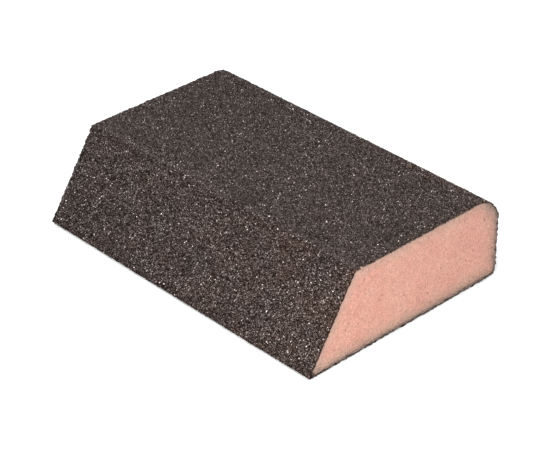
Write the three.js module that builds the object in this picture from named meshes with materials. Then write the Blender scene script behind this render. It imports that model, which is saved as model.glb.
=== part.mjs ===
// Sanding block: a foam core with a bevelled front edge and a rounded rear edge, coated with
// abrasive grit on its four long faces. The two ends are bare foam.
//
// Millimetres. +X runs along the block, +Y from the bevelled front to the rounded rear, +Z up.
// The origin is the middle of the base.
//
// Every piece is a constant section, extruded along X. All sections are cut from one outline:
// four flat faces joined by corner arcs, which each layer follows at its own depth below the skin.

import * as THREE from "three";

// Driving dimensions, over the finished skin
const LENGTH = 100;
const WIDTH = 69;
const HEIGHT = 25;
const BEVEL_RUN = 15.7; // how far the bevel leans back over the full height

// Layers of the coating
const GRIT_THICKNESS = 0.4; // abrasive grain with its size resin
const BOND_THICKNESS = 0.2; // make resin that bonds the grain to the foam
const FOAM_DEPTH = GRIT_THICKNESS + BOND_THICKNESS;

// Radii of the corners, in the skin and in the foam. The layers between them blend the two.
const REAR_TOP_RADII = { skin: 8.8, foam: 8.2 };
const REAR_BASE_RADII = { skin: 1.6, foam: 1.0 };
const RIDGE_RADII = { skin: 0.5, foam: 0.3 }; // between the top face and the bevel
const TIP_RADII = { skin: 0.5, foam: 1.0 }; // the acute edge, where the coating is thicker
const ARC_STEP = Math.PI / 24;

// The faces, each by the direction of its outward normal in the section, as an angle from +Y
// towards +Z, and by how far its plane lies from the origin along that normal
const BASE = { normal: -Math.PI / 2, offset: 0 };
const REAR = { normal: 0, offset: WIDTH / 2 };
const TOP = { normal: Math.PI / 2, offset: HEIGHT };
const BEVEL = bevelFace();
const BASE_AGAIN = { normal: BASE.normal + 2 * Math.PI, offset: 0 }; // one turn further round

// The bevel touches the arc of the tip, which touches the base and the block's front limit
function bevelFace() {
  const normal = Math.PI - Math.atan2(BEVEL_RUN, HEIGHT);
  const radius = TIP_RADII.skin;
  const tipCentre = new THREE.Vector2(radius - WIDTH / 2, radius);
  const outward = new THREE.Vector2(Math.cos(normal), Math.sin(normal));
  return { normal, offset: tipCentre.dot(outward) + radius };
}

// The rounded corner between two faces
function corner(from, to, radii) {
  return { from, to, radii };
}

const REAR_BASE = corner(BASE, REAR, REAR_BASE_RADII);
const REAR_TOP = corner(REAR, TOP, REAR_TOP_RADII);
const RIDGE = corner(TOP, BEVEL, RIDGE_RADII);
const TIP = corner(BEVEL, BASE_AGAIN, TIP_RADII);

// The point of a corner's arc whose normal points at an angle, some depth below the skin. The
// arc's centre lies that depth and one radius inside both faces.
function onArc({ from, to, radii }, angle, depth) {
  const radius = THREE.MathUtils.lerp(radii.skin, radii.foam, depth / FOAM_DEPTH);
  const a = from.offset - depth - radius;
  const b = to.offset - depth - radius;
  const span = Math.sin(to.normal - from.normal);
  const centreY = (a * Math.sin(to.normal) - b * Math.sin(from.normal)) / span;
  const centreZ = (b * Math.cos(from.normal) - a * Math.cos(to.normal)) / span;
  return new THREE.Vector2(
    centreY + radius * Math.cos(angle),
    centreZ + radius * Math.sin(angle),
  );
}

// A whole corner, from the end of one face to the start of the next
function arc(rounding, depth) {
  const start = rounding.from.normal;
  const turn = rounding.to.normal - start;
  const steps = Math.ceil(turn / ARC_STEP);
  return Array.from({ length: steps + 1 }, (_, i) =>
    onArc(rounding, start + (turn * i) / steps, depth),
  );
}

// The line that each coated strip follows at a depth. The strips of the two flat faces end
// where the corners begin, so the bevel and the rear strips wrap both of their own corners.
const STRIPS = {
  top: (depth) => [onArc(REAR_TOP, TOP.normal, depth), onArc(RIDGE, TOP.normal, depth)],
  bevel: (depth) => [...arc(RIDGE, depth), ...arc(TIP, depth)],
  base: (depth) => [onArc(TIP, BASE.normal, depth), onArc(REAR_BASE, BASE.normal, depth)],
  rear: (depth) => [...arc(REAR_BASE, depth), ...arc(REAR_TOP, depth)],
};

const foamMaterial = new THREE.MeshStandardMaterial({ color: 0xe0ab97, roughness: 0.95 });
const bondMaterial = new THREE.MeshStandardMaterial({ color: 0x5a4538, roughness: 0.6 });
const gritMaterial = new THREE.MeshStandardMaterial({ color: 0x4f4643, roughness: 0.7 });

// A mesh of one section, extruded over the block's whole length
function extruded(name, section, material) {
  const shape = new THREE.Shape(section);
  const geometry = new THREE.ExtrudeGeometry(shape, { depth: LENGTH, bevelEnabled: false });
  const mesh = new THREE.Mesh(geometry, material);
  mesh.name = name;
  mesh.position.z = -LENGTH / 2;
  return mesh;
}

// The closed section of the foam, inside all the layers
function foamSection() {
  return [REAR_BASE, REAR_TOP, RIDGE, TIP].flatMap((rounding) => arc(rounding, FOAM_DEPTH));
}

// The closed section of one layer of a strip, between two depths
function layerSection(strip, outerDepth, innerDepth) {
  return [...strip(outerDepth), ...strip(innerDepth).reverse()];
}

// The section's plane is turned upright: its x to the block's Y, its y to Z, its depth to X
const sandingBlock = new THREE.Group();
sandingBlock.rotation.set(0, Math.PI / 2, Math.PI / 2);

sandingBlock.add(extruded("foam_core", foamSection(), foamMaterial));
for (const [face, strip] of Object.entries(STRIPS)) {
  const bond = layerSection(strip, GRIT_THICKNESS, FOAM_DEPTH);
  const grit = layerSection(strip, 0, GRIT_THICKNESS);
  sandingBlock.add(extruded(`${face}_bond_coat`, bond, bondMaterial));
  sandingBlock.add(extruded(`${face}_grit_coat`, grit, gritMaterial));
}

export default sandingBlock;
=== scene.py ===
"""Looks for a foam sanding block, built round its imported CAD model.

Metres. +X runs along the block, +Y from the bevelled front to the rounded rear, +Z up.
The CAD gives the foam core and, on each long face, a bond coat and a grit coat as smooth solids.
Here each is rebuilt with its real surface: grains, ragged cut edges and foam cells.
"""

import math

import bpy
import numpy as np
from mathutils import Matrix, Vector, geometry, noise


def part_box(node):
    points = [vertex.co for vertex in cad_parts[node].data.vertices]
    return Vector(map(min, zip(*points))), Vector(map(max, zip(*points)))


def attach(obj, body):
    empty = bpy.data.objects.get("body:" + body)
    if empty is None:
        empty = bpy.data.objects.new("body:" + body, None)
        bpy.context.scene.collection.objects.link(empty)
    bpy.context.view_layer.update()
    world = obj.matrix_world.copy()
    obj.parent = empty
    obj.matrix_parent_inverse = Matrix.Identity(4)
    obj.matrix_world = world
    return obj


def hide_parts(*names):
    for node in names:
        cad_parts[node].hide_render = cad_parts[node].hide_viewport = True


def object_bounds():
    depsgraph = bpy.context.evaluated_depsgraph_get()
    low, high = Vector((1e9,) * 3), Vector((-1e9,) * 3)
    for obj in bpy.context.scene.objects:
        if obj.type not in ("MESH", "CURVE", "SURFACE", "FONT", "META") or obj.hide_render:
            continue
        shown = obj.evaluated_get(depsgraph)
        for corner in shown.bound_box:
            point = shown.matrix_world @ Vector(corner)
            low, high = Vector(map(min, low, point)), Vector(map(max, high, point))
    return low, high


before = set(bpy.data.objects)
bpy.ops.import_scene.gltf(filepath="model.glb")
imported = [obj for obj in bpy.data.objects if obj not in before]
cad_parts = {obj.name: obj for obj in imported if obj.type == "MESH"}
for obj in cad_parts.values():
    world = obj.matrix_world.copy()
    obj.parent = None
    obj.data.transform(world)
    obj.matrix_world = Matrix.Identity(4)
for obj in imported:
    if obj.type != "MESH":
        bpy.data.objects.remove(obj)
cad_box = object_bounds()

MM = 0.001
TURN = 2 * math.pi
SEED = 7
TINY = 1e-7  # how close to an edge a point counts as on it

# Sizes, from the frame
LOW, HIGH = cad_box
BASE_LOW, BASE_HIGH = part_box("base_grit_coat")
TOP_LOW, TOP_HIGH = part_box("top_grit_coat")
LENGTH = HIGH.x - LOW.x
HALF = LENGTH / 2
GRIT_THICKNESS = TOP_HIGH.z - TOP_LOW.z
COAT_THICKNESS = HIGH.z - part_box("foam_core")[1].z

# Radii of the foam at its two sharp edges, as in the CAD
RIDGE_FOAM_RADIUS = 0.3 * MM
TIP_FOAM_RADIUS = 1.0 * MM


# ---------------------------------------------------------------- The outline of the section


class Corner:
    """A rounded long edge: an arc in the YZ plane, from one face's normal to the next one's.

    As in the CAD, its radius is one in the skin and another in the foam, and the arc stays
    tangent to both faces at every depth.
    """

    def __init__(self, y, z, start, end, skin_radius, foam_radius):
        self.start, self.end = start, end
        self.skin = (y, z, skin_radius)
        inwards = COAT_THICKNESS + foam_radius - skin_radius
        stretch = inwards / (1 + math.cos(end - start))
        foam_y = y - stretch * (math.cos(start) + math.cos(end))
        foam_z = z - stretch * (math.sin(start) + math.sin(end))
        self.foam = (foam_y, foam_z, foam_radius)


def outline_corners():
    """The four corners, anticlockwise from the foot of the rear face.

    The coats of the flat faces end where the corners begin, which gives the corners' radii.
    """
    rear_base = HIGH.y - BASE_HIGH.y
    rear_top = HIGH.y - TOP_HIGH.y
    sharp = BASE_LOW.y - LOW.y
    up, down = TURN / 4, -TURN / 4
    bevel = math.atan2(HIGH.z - 2 * sharp, TOP_LOW.y - BASE_LOW.y) + up
    return (
        Corner(BASE_HIGH.y, rear_base, down, 0, rear_base, rear_base - COAT_THICKNESS),
        Corner(TOP_HIGH.y, HIGH.z - rear_top, 0, up, rear_top, rear_top - COAT_THICKNESS),
        Corner(TOP_LOW.y, HIGH.z - sharp, up, bevel, sharp, RIDGE_FOAM_RADIUS),
        Corner(BASE_LOW.y, sharp, bevel, down + TURN, sharp, TIP_FOAM_RADIUS),
    )


CORNERS = outline_corners()
REAR_BASE, REAR_TOP, RIDGE, TIP = CORNERS


class Strip:
    """A stretch of the outline: arcs round corners, joined by straight lines.

    Each turn is a corner and the normal angles between which the strip follows its arc.
    Places on it are given by the distance along the skin and the depth below it.
    """

    def __init__(self, *turns):
        knots = [(corner, angle) for corner, *angles in turns for angle in angles]
        self.angle = np.array([angle for _, angle in knots])
        self.skin_arcs = np.array([corner.skin for corner, _ in knots]).T
        self.foam_arcs = np.array([corner.foam for corner, _ in knots]).T
        y, z, radius = self.skin_arcs
        line_y = np.diff(y + radius * np.cos(self.angle))
        line_z = np.diff(z + radius * np.sin(self.angle))
        turned = np.diff(self.angle)
        steps = np.where(turned > 0, radius[:-1] * turned, np.hypot(line_y, line_z))
        self.along = np.concatenate([[0], np.cumsum(steps)])
        self.length = self.along[-1]

    def place(self, s, depth):
        """The y and z of points at distances s along the skin and depths below it.

        Above the skin, where the depth is negative, they stand straight out from it.
        """
        angle = np.interp(s, self.along, self.angle)
        outward = np.stack([np.cos(angle), np.sin(angle)])
        levels = []
        for arcs in (self.skin_arcs, self.foam_arcs):
            y, z, radius = (np.interp(s, self.along, values) for values in arcs)
            levels.append(np.stack([y, z]) + radius * outward)
        skin, foam = levels
        below = np.maximum(depth, 0) / COAT_THICKNESS
        return skin + (foam - skin) * below - outward * np.minimum(depth, 0)

    def points(self, x, s, depth):
        """The same, as rows of x, y and z."""
        return np.stack([x, *self.place(s, depth)], axis=1)


# The flat faces' strips end where the corners begin, and the other two wrap the corners.
STRIPS = {
    "top": Strip((REAR_TOP, REAR_TOP.end), (RIDGE, RIDGE.start)),
    "bevel": Strip((RIDGE, RIDGE.start, RIDGE.end), (TIP, TIP.start, TIP.end)),
    "base": Strip((TIP, TIP.end), (REAR_BASE, REAR_BASE.start + TURN)),
    "rear": Strip(
        (REAR_BASE, REAR_BASE.start, REAR_BASE.end),
        (REAR_TOP, REAR_TOP.start, REAR_TOP.end),
    ),
}


# ---------------------------------------------------------------- Mesh helpers

UNWRAPPING = "OFBake"  # the name of the layer that holds each piece's flat map
STEP_JITTER = 0.3  # as a share of a step
RIM_INSET = 0.4  # least distance of a lattice's points from its rim, as a share of the pitch
FLARE = 0.5 * MM  # how far the foot of the -X end stands out, where the saw has strayed


def flared(points):
    """Points drawn out towards the foot of the -X end, which isn't sawn quite square."""
    x, y, z = points.T
    share = np.maximum(-x, 0) / HALF * (1 - z / HIGH.z) ** 2
    return np.stack([x - FLARE * share, y, z], axis=1)


class Shell:
    """A piece in the making: points, and faces with a place on a flat map for each corner."""

    def __init__(self):
        self.points, self.faces, self.corners = [], [], []
        self.count = 0

    def add_points(self, points):
        """Adds rows of x, y and z, and returns their numbers."""
        first = self.count
        self.points.append(points)
        self.count += len(points)
        return np.arange(first, self.count)

    def add_faces(self, faces, u, v):
        """Adds rows of point numbers, each row anticlockwise from outside, with their places."""
        self.faces += [tuple(face) for face in np.asarray(faces).tolist()]
        self.corners.append(np.stack([np.ravel(u), np.ravel(v)], axis=1))

    def add_band(self, first, second, first_v, second_v):
        """Joins two loops of points by faces, which fill a band of the map between two heights."""
        faces = np.stack([first, np.roll(first, -1), np.roll(second, -1), second], axis=1)
        around = np.arange(len(first) + 1) / len(first)
        u = np.stack([around[:-1], around[1:], around[1:], around[:-1]], axis=1)
        self.add_faces(faces, u, np.tile((first_v, first_v, second_v, second_v), (len(first), 1)))

    def build(self, name):
        mesh = bpy.data.meshes.new(name)
        mesh.from_pydata(flared(np.concatenate(self.points)).tolist(), [], self.faces)
        layer = mesh.uv_layers.new(name=UNWRAPPING)
        layer.data.foreach_set("uv", np.concatenate(self.corners).astype(np.float32).ravel())
        piece = bpy.data.objects.new(name, mesh)
        bpy.context.scene.collection.objects.link(piece)
        return piece


def store(piece, name, domain, values):
    """Keeps one number for each point or face, for the piece's material to read."""
    layer = piece.data.attributes.new(name, "FLOAT", domain)
    layer.data.foreach_set("value", np.asarray(values, np.float32))


def jittered_lattice(width, height, pitch, jitter, rng):
    """Points scattered evenly over a rectangle that is centred across its width."""
    rows = int(height / (pitch * math.sqrt(3) / 2))
    columns = int(width / pitch)
    column, row = np.meshgrid(np.arange(columns) + 0.5, np.arange(rows) + 0.5)
    stagger = np.where(np.arange(rows) % 2, 0.25, -0.25)  # by half a step from row to row
    column = column + stagger[:, None]
    spread = rng.uniform(-jitter, jitter, (2, rows, columns))
    x = (column + spread[0]) * width / columns - width / 2
    s = (row + spread[1]) * height / rows
    inset = pitch * RIM_INSET
    x = np.clip(x, inset - width / 2, width / 2 - inset)
    s = np.clip(s, inset, height - inset)
    return np.stack([x.ravel(), s.ravel()], axis=1)


def uneven_steps(length, pitch, rng):
    """Distances from 0 to length, about a pitch apart, with both ends exact."""
    count = max(2, round(length / pitch))
    steps = np.linspace(0, length, count + 1)
    steps[1:-1] += rng.uniform(-STEP_JITTER, STEP_JITTER, count - 1) * length / count
    return steps


def cross(a, b):
    return a[..., 0] * b[..., 1] - a[..., 1] * b[..., 0]


def triangulate(points, edges=(), inside_only=False):
    """The points of a plane and the anticlockwise triangles between them.

    They fill the points' hull, or only the inside of the edges.
    """
    kind = 1 if inside_only else 0
    found = geometry.delaunay_2d_cdt([Vector(p) for p in points], edges, [], kind, 1e-9)
    place, triangles = np.array([tuple(p) for p in found[0]]), np.array(found[2])
    a, b, c = (place[triangles[:, i]] for i in range(3))
    clockwise = cross(b - a, c - a) < 0
    triangles[clockwise] = triangles[clockwise][:, ::-1]
    return place, triangles


def patches(x, s, size, seed):
    """Smooth unevenness from about -1 to 1, over patches of a given size."""
    layer = 17.3 * seed  # of the solid noise, far from the other seeds' layers
    return np.array([noise.noise(Vector((a / size, b / size, layer))) for a, b in zip(x, s)])


def at_ends(x):
    """Which points lie on the block's sawn ends."""
    return np.abs(np.abs(x) - HALF) < TINY


# ---------------------------------------------------------------- Sawn ends of the coats

RAGGED = 0.20 * MM  # how far the cut ends of a coat break off inside or outside the cut

# How dusty with foam the coats' sawn ends are, beside the foam
DUST = {"top": 0.9, "bevel": 0.05, "base": 0.65, "rear": 0.75}

# A chip in the +X end of the top coat, close to the ridge
CHIP_FROM_RIDGE = 2.4 * MM
CHIP_WIDTH = 1.1 * MM
CHIP_REACH = 0.9 * MM


def chipped(x, s, chip_at):
    """Draws points near the coat's +X end back from a chip, and leaves the others."""
    if chip_at is None:
        return x
    across = np.clip(1 - ((s - chip_at) / (CHIP_WIDTH / 2)) ** 2, 0, 1)
    nearby = np.clip(1 - (HALF - x) / (3 * CHIP_REACH), 0, 1)
    return x - CHIP_REACH * across * nearby


def broken_off(x, s, chip_at, rng):
    """The x of a coat's points, with its sawn ends uneven and any chip broken out."""
    uneven = np.where(at_ends(x), rng.uniform(-RAGGED, RAGGED, len(x)), 0)
    return chipped(x + uneven, s, chip_at)


# ---------------------------------------------------------------- Grit coats

GRAIN_PITCH = 0.41 * MM
HIDDEN_GRAIN_PITCH = 0.49 * MM  # on the base, which holds more grains than any other face
GRAIN_JITTER = 0.36  # as a share of the pitch
TIP_DEPTHS = (-0.21 * MM, 0.03 * MM)  # the grains' tips, below the skin
PROUD_SHARE = 0.06  # of the grains, which stand higher
PROUD_HEIGHTS = (0.03 * MM, 0.14 * MM)
CREVICE_DROPS = (0.10 * MM, 0.24 * MM)  # from the tips to the crevices between them
CREVICE_SPREAD = (6, 6, 6)  # higher numbers keep them closer to the middles of their triangles
DEEPEST_CREVICE = 0.34 * MM
VALLEY_SHARE = 0.85  # of neighbouring grains that a crevice parts, where a ridge joins the others
LUMPS = (0.05 * MM, 2.5 * MM)  # height and breadth
WAVES = (0.07 * MM, 13 * MM)
WHOLE_GRAIN_SHARE = 0.1  # of the facets, which take their grain's tone
PLAIN_TONE = 0.3  # of the walls and the inner side, which have no grains
WALL_DUST = (0.3, 0.6)  # at the feet of the rim wall's steps, as shares of the coat's dust
CUT_REACH = 0.9 * MM  # how far from a sawn end the grains are tinted

# How warm the resin's tint is, from 0 to 1
WARMTH = 0.4  # in the middle of the length
WARMTH_DRIFT = 0.35  # from there to the +X end
WARMTH_PATCHES = (0.7, 9 * MM)  # how far it varies in patches, and their breadth

# Bands along an edge: what each adds at most, its distance from the edge and its width
PALE_BY_RIDGE = (0.5, 0.9 * MM, 0.8 * MM)  # on the top
CLOGGED_BY_RIDGE = (-0.6, 1.1 * MM, 0.7 * MM)  # on the bevel, as the next two
CLOGGED_BY_TIP = (-0.8, 0.8 * MM, 1.8 * MM)
LOWERED_BY_TIP = (-0.7, 0.4 * MM, 1.0 * MM)  # as a share of the grains' height
BEVEL_PAINTED_LIGHT_DRIFT = 0.1  # painted light: how much brighter the bevel grows from its middle to its +X end

# A pale scuff on the top coat, beside the chip
SCUFF_FROM_RIDGE = 1.2 * MM
SCUFF_FROM_END = 1.8 * MM
SCUFF = (1.0, 0, 1.3 * MM)  # like a band, round a point

WALL_LEVELS = (0.6, 1.0)  # depths of the rim wall's steps, as shares of the grit's thickness

# Heights on a grit coat's flat map
GRAINS_V = 0.90  # the grains lie below it
WALLS_V = (0.92, 0.94, 0.96)  # the two steps of the rim's wall lie between these
INNER_V = 0.97  # the inner side lies above it


def coat_rim(length, pitch, rng):
    """Points round a coat laid flat, as x along the block and s across it."""
    ends = uneven_steps(length, pitch, rng)[1:-1]
    near, far = (uneven_steps(LENGTH, pitch, rng) - HALF for _ in range(2))
    sides = (
        (near, np.zeros(len(near))),
        (far, np.full(len(far), length)),
        (np.full(len(ends), -HALF), ends),
        (np.full(len(ends), HALF), ends),
    )
    return np.concatenate([np.stack(side, axis=1) for side in sides])


def rim_loop(x, s, length):
    """The numbers of the rim's points, in one anticlockwise loop."""
    near = np.flatnonzero(s < TINY)
    far = np.flatnonzero(s > length - TINY)
    inner = (s > TINY) & (s < length - TINY)
    left = np.flatnonzero(inner & (x < TINY - HALF))
    right = np.flatnonzero(inner & (x > HALF - TINY))
    return np.concatenate([
        near[np.argsort(x[near])],
        right[np.argsort(s[right])],
        far[np.argsort(-x[far])],
        left[np.argsort(-s[left])],
    ])


def panel_rows(x, s, loop):
    """Pairs of end points at the same height, with the whole near and far sides at the limits."""
    left = sorted((i for i in loop.tolist() if x[i] < TINY - HALF), key=lambda i: s[i])
    right = sorted((i for i in loop.tolist() if x[i] > HALF - TINY), key=lambda i: s[i])
    near = sorted((i for i in loop.tolist() if s[i] < TINY), key=lambda i: x[i])
    far = sorted((i for i in loop.tolist() if s[i] > s[right[-1]] - TINY), key=lambda i: x[i])
    return [near, *(list(pair) for pair in zip(left[1:-1], right[1:-1])), far]


def band(distance, most, place, width):
    """A number that is most at a place, and falls to 0 over about a width on both sides."""
    return most * np.exp(-(((distance - place) / width) ** 2))


def wear_and_painted_light(face, x, s, length):
    """From 0, clogged with resin, through 0.5, to 1, rubbed pale; it also carries painted light
    that brightens the bevel towards its +X end.
    """
    rubbed_and_lit = np.zeros(len(x))
    if face == "top":
        from_ridge = length - s
        from_scuff = np.hypot(from_ridge - SCUFF_FROM_RIDGE, HALF - SCUFF_FROM_END - x)
        rubbed_and_lit += band(from_ridge, *PALE_BY_RIDGE)
        rubbed_and_lit += band(from_scuff, *SCUFF)
    if face == "bevel":
        # Painted light: the bevel brighter towards its +X end, the end nearer the key light
        rubbed_and_lit += BEVEL_PAINTED_LIGHT_DRIFT * x / HALF + band(s, *CLOGGED_BY_RIDGE)
        rubbed_and_lit += band(length - s, *CLOGGED_BY_TIP)
    return 0.5 + 0.5 * np.clip(rubbed_and_lit, -1, 1)


def grain_bed(face, flat, triangles, length, rng):
    """Places and depths of the grains' tips, then of one crevice inside each triangle of tips."""
    x, s = flat.T
    tips = rng.uniform(*TIP_DEPTHS, len(x))
    proud = rng.random(len(x)) < PROUD_SHARE
    tips[proud] -= rng.uniform(*PROUD_HEIGHTS, proud.sum())
    lump_height, lump_breadth = LUMPS
    tips += lump_height * patches(x, s, lump_breadth, 1)
    if face == "bevel":
        tips *= 1 + band(length - s, *LOWERED_BY_TIP)
    wave_height, wave_breadth = WAVES
    tips += wave_height * patches(x, s, wave_breadth, 2)
    weights = rng.dirichlet(CREVICE_SPREAD, len(triangles))
    middle = (flat[triangles] * weights[..., None]).sum(1)
    crevices = (tips[triangles] * weights).sum(1) + rng.uniform(*CREVICE_DROPS, len(triangles))
    depth = np.concatenate([tips, np.minimum(crevices, DEEPEST_CREVICE)])
    return np.concatenate([flat, middle]), depth


def facets(place, triangles, tips, rng):
    """The grains' faces, and the grain that each belongs to.

    The points are the tips, then one crevice inside each triangle of tips. A grain's facets fall
    from its tip to the crevices round it. Where two grains lean together a ridge joins their
    tips instead, and so it does where a crevice line wouldn't pass between them.
    """
    edges = triangles[:, [[0, 1], [1, 2], [2, 0]]].reshape(-1, 2)
    crevice = tips + np.repeat(np.arange(len(triangles)), 3)
    key = np.sort(edges, axis=1)
    order = np.lexsort(key.T)
    edges, crevice, key = edges[order], crevice[order], key[order]
    first = np.flatnonzero((key[1:] == key[:-1]).all(axis=1))
    lone = np.setdiff1d(np.arange(len(key)), np.concatenate([first, first + 1]))
    a, b = edges[first].T  # the first crevice lies to the left of the edge from a to b
    left, right = crevice[first], crevice[first + 1]
    line = place[left] - place[right]
    between = cross(line, place[a] - place[right]) * cross(line, place[b] - place[right]) < 0
    valley = between & (rng.random(len(a)) < VALLEY_SHARE)
    ridge = ~valley
    faces = np.concatenate([
        np.stack([a, right, left], axis=1)[valley],
        np.stack([b, left, right], axis=1)[valley],
        np.stack([a, b, left], axis=1)[ridge],
        np.stack([b, a, right], axis=1)[ridge],
        np.column_stack([edges[lone], crevice[lone]]),
    ])
    return faces, faces[:, 0]


def facet_tones(owner, grains, rng):
    """A random tone for each facet: its own, or for some facets their grain's."""
    whole_grain = rng.random(len(owner)) < WHOLE_GRAIN_SHARE
    return np.where(whole_grain, rng.random(grains)[owner], rng.random(len(owner)))


def mark_places(piece, face, x, s, length):
    """Stores what depends on where a grit coat's points lie: wear and painted light, warmth and
    the cut ends.
    """
    store(piece, "wear_and_painted_light", "POINT", wear_and_painted_light(face, x, s, length))
    patchiness, breadth = WARMTH_PATCHES
    warmth = WARMTH + WARMTH_DRIFT * x / HALF + patchiness * patches(x, s, breadth, 4)
    store(piece, "warmth", "POINT", np.clip(warmth, 0, 1))
    cut = np.clip(1 - (HALF - np.abs(x)) / CUT_REACH, 0, 1)
    store(piece, "cut", "POINT", 0.5 + 0.5 * np.sign(x) * cut)


def grit_coat(face, strip, pitch, chip_at):
    """One closed shell whose outer side is a bed of angular grains."""
    length = strip.length
    rng = np.random.default_rng([SEED, len(face), round(length / MM)])
    field = jittered_lattice(LENGTH, length, pitch, GRAIN_JITTER, rng)
    flat, triangles = triangulate(np.concatenate([coat_rim(length, pitch, rng), field]))
    x, s = flat.T
    loop = rim_loop(x, s, length)
    place, depth = grain_bed(face, flat, triangles, length, rng)
    faces, owner = facets(place, triangles, len(x), rng)

    # The outer side
    shell = Shell()
    outer_s = place[:, 1]
    outer_x = broken_off(place[:, 0], outer_s, chip_at, rng)
    shell.add_points(strip.points(outer_x, outer_s, depth))
    u = outer_x / LENGTH + 0.5
    v = outer_s / length * GRAINS_V
    outwards = faces[:, ::-1]
    shell.add_faces(outwards, u[outwards], v[outwards])

    # Walls down the rim
    upper = loop
    for level, upper_v, lower_v in zip(WALL_LEVELS, WALLS_V, WALLS_V[1:]):
        ring_x = broken_off(x[loop], s[loop], chip_at, rng)
        lower = shell.add_points(strip.points(ring_x, s[loop], GRIT_THICKNESS * level))
        shell.add_band(upper, lower, upper_v, lower_v)
        upper = lower

    # Long panels across the smooth inner side, from one end's wall to the other's
    inner = dict(zip(loop.tolist(), upper.tolist()))
    rows = panel_rows(x, s, loop)
    for below, above in zip(rows, rows[1:]):
        panel = below + above[::-1]
        inner_v = INNER_V + (1 - INNER_V) * s[panel] / length
        shell.add_faces([[inner[i] for i in panel]], u[panel], inner_v)

    piece = shell.build(f"{face}_grit")
    tones = facet_tones(owner, len(x), rng)
    plain = np.full(len(shell.faces) - len(tones), PLAIN_TONE)
    store(piece, "tone_and_glint", "FACE", np.concatenate([tones, plain]))
    # How deep each point lies, which the material turns into painted shade in the crevices and on
    # the rim's walls
    walls = np.full(2 * len(loop), GRIT_THICKNESS)
    store(piece, "crevice_shade_depth", "POINT", np.concatenate([depth, walls]) / GRIT_THICKNESS)
    all_x = np.concatenate([outer_x, x[loop], x[loop]])
    all_s = np.concatenate([outer_s, s[loop], s[loop]])
    mark_places(piece, face, all_x, all_s, length)
    dusty = np.repeat([0, *WALL_DUST], [len(depth), len(loop), len(loop)])
    store(piece, "dust", "POINT", DUST[face] * dusty)
    return piece


# ---------------------------------------------------------------- Bond coats

BOND_STEP = 0.3 * MM
BOND_COLUMNS = 29
BOND_MARGIN = 0.5 * MM  # from the sawn ends to the first columns inside them
SOAKING = (0.05 * MM, 1.5 * MM)  # unevenness of the inner side, as height and breadth

# Heights on a bond coat's flat map
SIDE_V = 0.45  # what either side takes up
INNER_SIDE_V = 0.48  # where the inner side starts
BOND_WALL_V = 0.96  # where the rim's wall starts, which reaches the top


def bond_coat(face, strip, chip_at):
    """The resin between grit and foam: a thin closed shell with an uneven inner side."""
    length = strip.length
    rng = np.random.default_rng([SEED + 1, len(face), round(length / MM)])
    between = np.linspace(-HALF, HALF, BOND_COLUMNS)[1:-1]
    columns = np.concatenate([[-HALF, BOND_MARGIN - HALF], between, [HALF - BOND_MARGIN, HALF]])
    rows = max(2, round(length / BOND_STEP))
    x, s = (a.ravel() for a in np.meshgrid(columns, np.linspace(0, length, rows + 1)))
    edge_x = broken_off(x, s, chip_at, rng)
    height, breadth = SOAKING
    soaked = COAT_THICKNESS + height * patches(x, s, breadth, 3)
    shell = Shell()
    outer = shell.add_points(strip.points(edge_x, s, GRIT_THICKNESS))
    inner = shell.add_points(strip.points(edge_x, s, soaked))
    grid = np.arange(len(x)).reshape(rows + 1, len(columns))
    quads = np.stack([grid[:-1, :-1], grid[1:, :-1], grid[1:, 1:], grid[:-1, 1:]], axis=-1)
    quads = quads.reshape(-1, 4)
    u = x / LENGTH + 0.5
    v = s / length * SIDE_V
    shell.add_faces(outer[quads], u[quads], v[quads])
    quads = quads[:, ::-1]
    shell.add_faces(inner[quads], u[quads], v[quads] + INNER_SIDE_V)
    loop = np.concatenate([grid[0, :-1], grid[:-1, -1], grid[-1, :0:-1], grid[:0:-1, 0]])
    shell.add_band(outer[loop], inner[loop], BOND_WALL_V, 1)
    piece = shell.build(f"{face}_bond")
    store(piece, "dust", "POINT", np.tile(np.where(at_ends(x), DUST[face], 0), 2))
    return piece


# ---------------------------------------------------------------- Foam core

FOAM_STEP = 0.2 * MM
FOAM_JITTER = 0.38  # as a share of the step
FOAM_INSET = 0.6  # from the outline to the other points, as a share of the step
SAW_WAVES = (0.10 * MM, 11 * MM)  # height and breadth, as for the fibres and cells
FIBRES = (0.03 * MM, 0.8 * MM)
CELLS = (0.05 * MM, 0.45 * MM)
CELL_REACH = 0.6  # of a cell's hollow from its middle, as a share of the cells' size
PORE_COUNT = 60  # on each end
PORE_RADII = (0.15 * MM, 0.4 * MM)
DEEPEST_PORE = 0.32 * MM
CHIP_FOAM = 0.8  # how high the foam stands in the chip, as a share of the coat's thickness
SOAKED_DEPTH = 4.5 * MM  # how far the resin of the base and the rear stains the foam
TRIMMED_DEPTH = 3.5 * MM  # the same for the top and the bevel, where it is fainter
BEVEL_STAIN = 0.25 * MM  # the width of a darker line, along the bevel only

# Heights on the foam's flat map
END_V = 0.36  # what either end takes up
SECOND_END_V = 0.38  # where the +X end starts
SIDES_V = (0.78, 0.98, 1.0)  # the sides lie between these, in two bands


def foam_outline():
    """The foam's outline in the YZ plane, at an even step."""
    whole = Strip(*((c, c.start, c.end) for c in CORNERS), (REAR_BASE, TIP.end))
    count = round(whole.length / FOAM_STEP)
    s = np.arange(count) * whole.length / count
    return whole.place(s, COAT_THICKNESS).T


def edge_distances(y, z):
    """How far points of the section lie inside the coat of each of the four faces."""
    bevel_y, bevel_z = math.cos(RIDGE.end), math.sin(RIDGE.end)
    tip_y, tip_z, tip_radius = TIP.skin
    bevel = (tip_y - y) * bevel_y + (tip_z - z) * bevel_z + tip_radius
    inside = {"top": HIGH.z - z, "base": z - LOW.z, "rear": HIGH.y - y, "bevel": bevel}
    return {face: distance - COAT_THICKNESS for face, distance in inside.items()}


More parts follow.
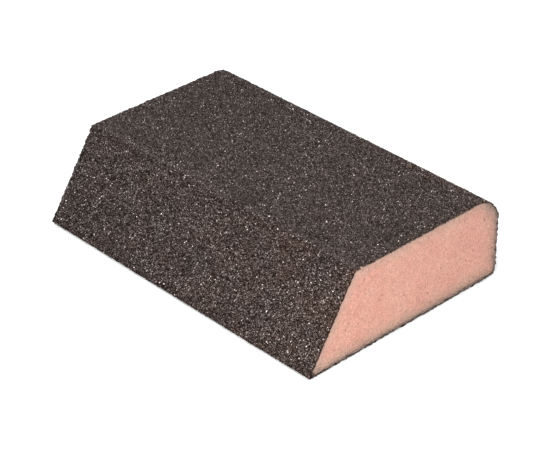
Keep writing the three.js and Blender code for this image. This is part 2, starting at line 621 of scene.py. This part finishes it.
def rear_soaking(y, z):
    """How far points lie from the resin of the rear coat, which wraps the upper rear corner.

    It soaks in deeper round the corner, and peters out where the corner runs into the top.
    """
    centre_y, centre_z, radius = REAR_TOP.foam
    rearwards, upwards = np.maximum(y - centre_y, 0), np.maximum(z - centre_z, 0)
    into_corner = np.clip(upwards / radius * 2, 0, 1)
    past_top = np.clip(rearwards / radius * 2, 0, 1)
    depth = radius - np.hypot(rearwards, upwards)
    return depth / (1 + into_corner) + SOAKED_DEPTH * (1 - past_top)


def pores(y, z, rng):
    """Depth of a few open cells, larger than the rest, scattered over an end face."""
    depth = np.zeros(len(y))
    for _ in range(PORE_COUNT):
        at_y, at_z = rng.uniform(LOW.y, HIGH.y), rng.uniform(LOW.z, HIGH.z)
        radius = rng.uniform(*PORE_RADII)
        far = np.hypot(y - at_y, z - at_z) / radius
        deepest = radius / PORE_RADII[1] * DEEPEST_PORE
        depth = np.maximum(depth, np.where(far < 1, (1 - far**2) * deepest, 0))
    return depth


def cell_distances(y, z, size, layer):
    """How far points lie from the middles of cells, as a share of the cells' size."""
    places = (Vector((a / size, b / size, layer)) for a, b in zip(y, z))
    return np.array([noise.voronoi(place)[0][0] for place in places])


def end_relief(y, z, seed):
    """How deep points of an end face lie: all in all, and in pores alone."""
    rng = np.random.default_rng([SEED + 2, seed])
    wave_height, wave_breadth = SAW_WAVES
    waves = wave_height * (1 + patches(y, z, wave_breadth, 3 + seed))
    fibre_height, fibre_breadth = FIBRES
    fibres = fibre_height * (1 + patches(y, z, fibre_breadth, 5 + seed))
    cell_depth, cell_size = CELLS
    from_middle = cell_distances(y, z, cell_size, 9.1 * seed)
    cells = cell_depth * (1 - np.clip(from_middle / CELL_REACH, 0, 1))
    in_pores = pores(y, z, rng)
    return waves + fibres + cells + in_pores, in_pores


def foam_in_chip(y, z):
    """How far the foam's upper edge rises into the chip at its +X end."""
    from_middle = y - (TOP_LOW.y + CHIP_FROM_RIDGE)
    across = np.clip(1 - (from_middle / (CHIP_WIDTH / 2)) ** 2, 0, 1)
    on_edge = np.clip(1 - (HIGH.z - COAT_THICKNESS - z) / FOAM_STEP, 0, 1)
    return CHIP_FOAM * COAT_THICKNESS * across * on_edge


def foam_section():
    """The points of the foam's section, from the outline's own inwards, and its triangles."""
    rng = np.random.default_rng(SEED + 3)
    outline = foam_outline()
    ring = len(outline)
    field = jittered_lattice(HIGH.y - LOW.y, HIGH.z - LOW.z, FOAM_STEP, FOAM_JITTER, rng)
    field += [(LOW.y + HIGH.y) / 2, LOW.z]
    inside = np.min(list(edge_distances(*field.T).values()), axis=0) > FOAM_STEP * FOAM_INSET
    edges = [(i, (i + 1) % ring) for i in range(ring)]
    points = np.concatenate([outline, field[inside]])
    flat, triangles = triangulate(points, edges, inside_only=True)
    return flat, triangles, ring


def foam_core():
    """The foam: dense cut ends with cells, joined by the sides that the coats cover."""
    flat, triangles, ring = foam_section()
    y, z = flat.T
    width, height = HIGH.y - LOW.y, HIGH.z - LOW.z
    shell = Shell()
    rings, pore_depths = [], []
    for end, side in enumerate((-1, 1)):
        rise = foam_in_chip(y, z) * end
        relief, in_pores = end_relief(y, z, end)
        pore_depths.append(in_pores)
        x = side * (HALF - relief)
        numbers = shell.add_points(np.stack([x, y, z + rise], axis=1))
        corners = triangles[:, ::side]
        u = (y[corners] - LOW.y) / width
        v = (z[corners] - LOW.z) / height * END_V + SECOND_END_V * end
        shell.add_faces(numbers[corners], u, v)
        rings.append(numbers[:ring])

    # The sides, with one more ring behind the chip
    behind_chip = np.full(ring, HALF - 2 * CHIP_REACH)
    rings.insert(1, shell.add_points(np.stack([behind_chip, y[:ring], z[:ring]], axis=1)))
    for i in range(2):
        shell.add_band(rings[i], rings[i + 1], SIDES_V[i], SIDES_V[i + 1])

    piece = shell.build("foam_block")
    all_y, all_z = (np.concatenate([a, a, a[:ring]]) for a in (y, z))
    distances = edge_distances(all_y, all_z)
    # Painted shade: the foam's ends grow darker towards the rear
    store(piece, "rearward_shade", "POINT", (all_y - LOW.y) / width)
    # Pore depth, which the material paints as shade in the pores
    store(piece, "pore_shade", "POINT", np.concatenate([*pore_depths, np.zeros(ring)]) / DEEPEST_PORE)
    from_resin = np.minimum(distances["base"], rear_soaking(all_y, all_z))
    store(piece, "soaked", "POINT", from_resin / SOAKED_DEPTH)
    beyond_stain = np.minimum(distances["top"] + BEVEL_STAIN, distances["bevel"])
    store(piece, "trimmed", "POINT", beyond_stain / TRIMMED_DEPTH)
    return piece


# ---------------------------------------------------------------- Materials

FOAM_DUST = (0.34, 0.24, 0.195)  # the colour of dust from the foam
PALE_GRAIN_AND_GLINT_TINT = (1.15, 1.02, 0.97)  # the tint of bare grains that the resin doesn't cover, and of painted glints

# The resin's cooler and warmer tints, on the top and base and on the browner bevel and rear
FLAT_TINTS = ((1.75, 1.04, 0.80), (1.85, 1.02, 0.76))
SIDE_TINTS = ((1.58, 0.86, 0.70), (2.22, 0.86, 0.38))


class Shader:
    """A Principled material, with short ways to add and join nodes.

    An input may be a number, a colour or another node's output.
    """

    def __init__(self, name):
        self.material = bpy.data.materials.new(name)
        self.material.use_nodes = True
        self.nodes = self.material.node_tree.nodes
        self.links = self.material.node_tree.links
        self.principled = self.nodes["Principled BSDF"]

    def plug(self, socket, value):
        if isinstance(value, bpy.types.NodeSocket):
            self.links.new(value, socket)
        else:
            socket.default_value = (*value, 1) if isinstance(value, tuple) else value

    def feed(self, node, inputs):
        """Gives a node some of its inputs, by their names."""
        for name, value in inputs.items():
            self.plug(node.inputs[name], value)

    def add(self, kind, inputs=None, **settings):
        """A new node, with some of its settings and inputs."""
        node = self.nodes.new(kind)
        for name, value in settings.items():
            setattr(node, name, value)
        self.feed(node, inputs or {})
        return node

    def position(self):
        return self.add("ShaderNodeTexCoord").outputs["Object"]

    def attribute(self, name):
        return self.add("ShaderNodeAttribute", attribute_name=name).outputs["Fac"]

    def voronoi(self, size, output):
        inputs = {"Vector": self.position(), "Scale": 1 / size}
        return self.add("ShaderNodeTexVoronoi", inputs).outputs[output]

    def cells(self, size):
        """A random number for each cell of about a given size, in metres."""
        colour = self.voronoi(size, "Color")
        return self.add("ShaderNodeSeparateColor", {"Color": colour}).outputs["Red"]

    def pits(self, size):
        """0 in the middle of each cell of about a given size, in metres, rising outwards."""
        return self.voronoi(size, "Distance")

    def noise(self, size, detail=2.0, roughness=0.5):
        """Noise whose features are about a given size, in metres."""
        inputs = {
            "Vector": self.position(),
            "Scale": 1 / size,
            "Detail": detail,
            "Roughness": roughness,
        }
        return self.add("ShaderNodeTexNoise", inputs).outputs["Fac"]

    def ramp(self, value, *stops):
        """Colours or greys between places from 0 to 1."""
        node = self.add("ShaderNodeValToRGB", {"Fac": value})
        elements = node.color_ramp.elements
        while len(elements) < len(stops):
            elements.new(1.0)
        for element, (place, colour) in zip(elements, stops):
            rgb = colour if isinstance(colour, tuple) else (colour,) * 3
            element.position = place
            element.color = (*rgb, 1)
        return node.outputs["Color"]

    def mix(self, amount, first, second, blend="MIX"):
        """Two colours blended by an amount from 0 to 1."""
        node = self.add("ShaderNodeMix", data_type="RGBA", blend_type=blend)
        for number, value in ((0, amount), (6, first), (7, second)):
            self.plug(node.inputs[number], value)
        return node.outputs[2]

    def times(self, *colours):
        """The product of colours."""
        product, *others = colours
        for other in others:
            product = self.mix(1.0, product, other, "MULTIPLY")
        return product

    def dusted(self, colour):
        """The colour under patches of the foam's dust, where the piece carries any."""
        patchy = self.ramp(self.noise(0.9 * MM, detail=3), (0.42, 0.1), (0.58, 1.0))
        amount = self.times(patchy, self.attribute("dust"))
        return self.mix(amount, colour, FOAM_DUST)

    def bump(self, height, depth):
        """A bump of a given depth, in metres."""
        return self.add("ShaderNodeBump", {"Height": height, "Distance": depth}).outputs["Normal"]


def grit_material(name, cool, warm, contrast):
    """Dark grains under brown resin, each facet with its own tone, and a few pale ones, which are
    partly bare grains and partly painted glints.

    The resin's tint drifts between a cooler and a warmer one, and pale grains and painted glints
    show less of it. Painted shade darkens the crevices and the rim's walls, and painted light
    brightens the bevel towards its +X end. The contrast raises that of the smallest specks.
    """
    shader = Shader(name)
    # Random tones; the rarest, palest ones are partly bare grains and partly painted glints
    tone_and_glint = shader.ramp(
        shader.attribute("tone_and_glint"),
        (0.0, 0.013),
        (0.35, 0.020),
        (0.7, 0.036),
        (0.92, 0.064),
        (0.985, 0.13),
        (1.0, 0.45),
    )
    specks = shader.ramp(
        shader.cells(0.22 * MM),
        (0.0, 1 - 1.0 * contrast),
        (0.4, 1 - 0.6 * contrast),
        (0.8, 1 + 0.8 * contrast),
        (1.0, 1 + 2.8 * contrast),
    )
    # Wear, and painted light that brightens the bevel towards its +X end
    rubbed_and_lit = shader.ramp(shader.attribute("wear_and_painted_light"), (0.0, 0.72), (0.5, 1.0), (1.0, 1.7))
    # Painted shade: darker the deeper a point lies, in the crevices between grains and on the
    # rim's walls
    crevice = shader.ramp(shader.attribute("crevice_shade_depth"), (0.1, 1.0), (0.8, 0.35))
    value = shader.times(tone_and_glint, specks, rubbed_and_lit, crevice)
    resin = shader.ramp(shader.attribute("warmth"), (0.0, cool), (1.0, warm))
    # Pale values lose the resin's tint, both on bare grains and on painted glints
    bareness_and_glint = shader.ramp(
        value,
        (0.0, 0.0),
        (0.02, 0.44),
        (0.06, 0.75),
        (0.2, 0.96),
        (1.0, 1.0),
    )
    tint = shader.mix(bareness_and_glint, resin, PALE_GRAIN_AND_GLINT_TINT)
    cut = shader.ramp(
        shader.attribute("cut"),
        (0.0, (1.10, 1.23, 1.30)),
        (0.5, 1.0),
        (1.0, (1.12, 0.94, 0.85)),
    )
    gloss = shader.ramp(shader.noise(0.5 * MM), (0.3, 0.22), (0.7, 0.6))
    looks = {
        "Base Color": shader.dusted(shader.times(value, tint, cut)),
        "Roughness": gloss,
        "Normal": shader.bump(shader.noise(0.12 * MM), 0.04 * MM),
        "Specular IOR Level": 0.08,
    }
    shader.feed(shader.principled, looks)
    return shader.material


def bond_material():
    """Cured brown resin, dull in patches."""
    shader = Shader("brown_resin")
    resin = shader.ramp(
        shader.noise(0.6 * MM, detail=3),
        (0.3, (0.030, 0.016, 0.010)),
        (0.7, (0.085, 0.050, 0.034)),
    )
    looks = {
        "Base Color": shader.dusted(resin),
        "Roughness": shader.ramp(shader.noise(0.9 * MM), (0.3, 0.35), (0.7, 0.6)),
        "Normal": shader.bump(shader.noise(0.2 * MM), 0.03 * MM),
    }
    shader.feed(shader.principled, looks)
    return shader.material


def foam_material():
    """Fine salmon foam, stained by resin close to the coats, with painted shade in its hollows and
    towards the rear.
    """
    shader = Shader("salmon_foam")
    body = shader.ramp(
        shader.noise(6 * MM, detail=3),
        (0.35, (0.529, 0.262, 0.202)),
        (0.65, (0.537, 0.292, 0.221)),
    )
    threads = shader.noise(0.6 * MM, detail=3, roughness=0.75)
    fibres = shader.ramp(threads, (0.3, 0.74), (0.7, 1.22))
    # Painted shade, darker towards the rear
    rearward_shade = shader.ramp(shader.attribute("rearward_shade"), (0.05, 1.025), (1.0, 0.92))
    pits = shader.pits(0.42 * MM)
    # Painted shade in the cells' hollows, darker towards each cell's middle
    cells = shader.ramp(pits, (0.12, (0.66, 0.56, 0.52)), (0.42, 1.03))
    mottle = shader.ramp(shader.noise(2 * MM), (0.3, 0.94), (0.7, 1.06))
    specks = shader.ramp(shader.noise(1.1 * MM), (0.24, (0.75, 0.68, 0.66)), (0.32, 1.0))
    # Painted shade in the deeper pores
    painted_pore_shade = shader.ramp(shader.attribute("pore_shade"), (0.0, 1.0), (0.8, (0.64, 0.54, 0.50)))
    frayed = shader.ramp(shader.noise(0.6 * MM, detail=3), (0.35, 0.0), (0.65, 0.15))
    soaked = shader.ramp(
        shader.mix(1.0, shader.attribute("soaked"), frayed, "ADD"),
        (0.0, (0.36, 0.51, 0.56)),
        (0.11, (0.48, 0.63, 0.68)),
        (0.23, (0.65, 0.78, 0.81)),
        (0.46, (0.84, 0.92, 0.925)),
        (1.0, 1.0),
    )
    trimmed = shader.ramp(
        shader.attribute("trimmed"),
        (0.0, 0.38),
        (BEVEL_STAIN / TRIMMED_DEPTH, (0.73, 0.90, 0.96)),
        (0.26, (0.83, 0.97, 1.0)),
        (1.0, 1.0),
    )
    unstained = shader.times(body, fibres, mottle, specks, cells, painted_pore_shade, rearward_shade)
    rough = shader.ramp(shader.noise(0.15 * MM, detail=3), (0.3, 0.4), (0.7, 1.0))
    raised = shader.times(rough, shader.ramp(pits, (0.1, 0.0), (0.5, 1.0)))
    looks = {
        "Base Color": shader.times(unstained, soaked, trimmed),
        "Roughness": 0.95,
        "Normal": shader.bump(raised, 0.06 * MM),
    }
    shader.feed(shader.principled, looks)
    return shader.material


# ---------------------------------------------------------------- Floor, lights and camera

FLOOR_REACH = 3.0  # from the floor's middle to its sides
SURROUND_STRENGTH = 0.40
CAMERA_AZIMUTH = math.radians(46.31)
CAMERA_ELEVATION = math.radians(32.04)
CAMERA_DISTANCE = 0.543
CAMERA_LENS = 133.27  # focal length in millimetres, as Blender takes it
CAMERA_AIM = (2.21 * MM, -0.175 * MM, 8.28 * MM)


def floor(level):
    """A plain pale floor, which isn't part of the block."""
    sides = ((-1, -1), (1, -1), (1, 1), (-1, 1))
    mesh = bpy.data.meshes.new("floor")
    corners = [(x * FLOOR_REACH, y * FLOOR_REACH, level) for x, y in sides]
    mesh.from_pydata(corners, [], [(0, 1, 2, 3)])
    ground = bpy.data.objects.new("floor", mesh)
    bpy.context.scene.collection.objects.link(ground)
    shader = Shader("pale_floor")
    shader.feed(shader.principled, {"Base Color": (0.93, 0.93, 0.93), "Roughness": 0.9})
    mesh.materials.append(shader.material)


def area_light(name, place, size, power):
    """A round light of a given diameter, aimed at the block's middle."""
    light = bpy.data.lights.new(name, "AREA")
    light.shape = "DISK"
    light.size = size
    light.energy = power
    lamp = bpy.data.objects.new(name, light)
    lamp.location = place
    aim = Vector((0, 0, HIGH.z / 2)) - Vector(place)
    lamp.rotation_euler = aim.to_track_quat("-Z", "Y").to_euler()
    bpy.context.scene.collection.objects.link(lamp)


def studio():
    """A white surround, with lights in front, overhead and behind, and a small one for sparkle."""
    world = bpy.data.worlds.new("studio")
    world.use_nodes = True
    background = world.node_tree.nodes["Background"]
    background.inputs["Color"].default_value = (1, 1, 1, 1)
    background.inputs["Strength"].default_value = SURROUND_STRENGTH
    bpy.context.scene.world = world
    area_light("key", (0.26, -0.34, 0.28), 0.25, 2.35)
    area_light("fill", (0.0, -0.25, 0.85), 0.3, 3.15)
    area_light("back", (-0.2, 0.7, 0.5), 0.4, 3.0)
    area_light("sparkle", (0.5, 0.1, 0.8), 0.08, 2.0)
    bpy.context.scene.view_settings.view_transform = "Standard"


def camera():
    """A long lens, aimed close to the block's middle."""
    data = bpy.data.cameras.new("camera")
    data.lens = CAMERA_LENS
    eye = bpy.data.objects.new("camera", data)
    back = Vector((
        math.sin(CAMERA_AZIMUTH) * math.cos(CAMERA_ELEVATION),
        -math.cos(CAMERA_AZIMUTH) * math.cos(CAMERA_ELEVATION),
        math.sin(CAMERA_ELEVATION),
    ))
    eye.location = Vector(CAMERA_AIM) + back * CAMERA_DISTANCE
    eye.rotation_euler = back.to_track_quat("Z", "Y").to_euler()
    bpy.context.scene.collection.objects.link(eye)
    bpy.context.scene.camera = eye


# ---------------------------------------------------------------- Assembly


def finish_piece(piece, node, material):
    """Gives a piece its material, and puts it in the place of its CAD node."""
    piece.data.materials.append(material)
    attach(piece, "root")
    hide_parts(node)


camera()
studio()

flat_grit = grit_material("coated_grit", *FLAT_TINTS, contrast=1.0)
side_grit = grit_material("brown_coated_grit", *SIDE_TINTS, contrast=1.33)
bond, foam = bond_material(), foam_material()
for face, strip in STRIPS.items():
    pitch = HIDDEN_GRAIN_PITCH if face == "base" else GRAIN_PITCH
    grit = flat_grit if face in ("top", "base") else side_grit
    chip_at = strip.length - CHIP_FROM_RIDGE if face == "top" else None
    finish_piece(grit_coat(face, strip, pitch, chip_at), f"{face}_grit_coat", grit)
    finish_piece(bond_coat(face, strip, chip_at), f"{face}_bond_coat", bond)

core = foam_core()
finish_piece(core, "foam_core", foam)

visual_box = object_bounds()
floor(visual_box[0].z)
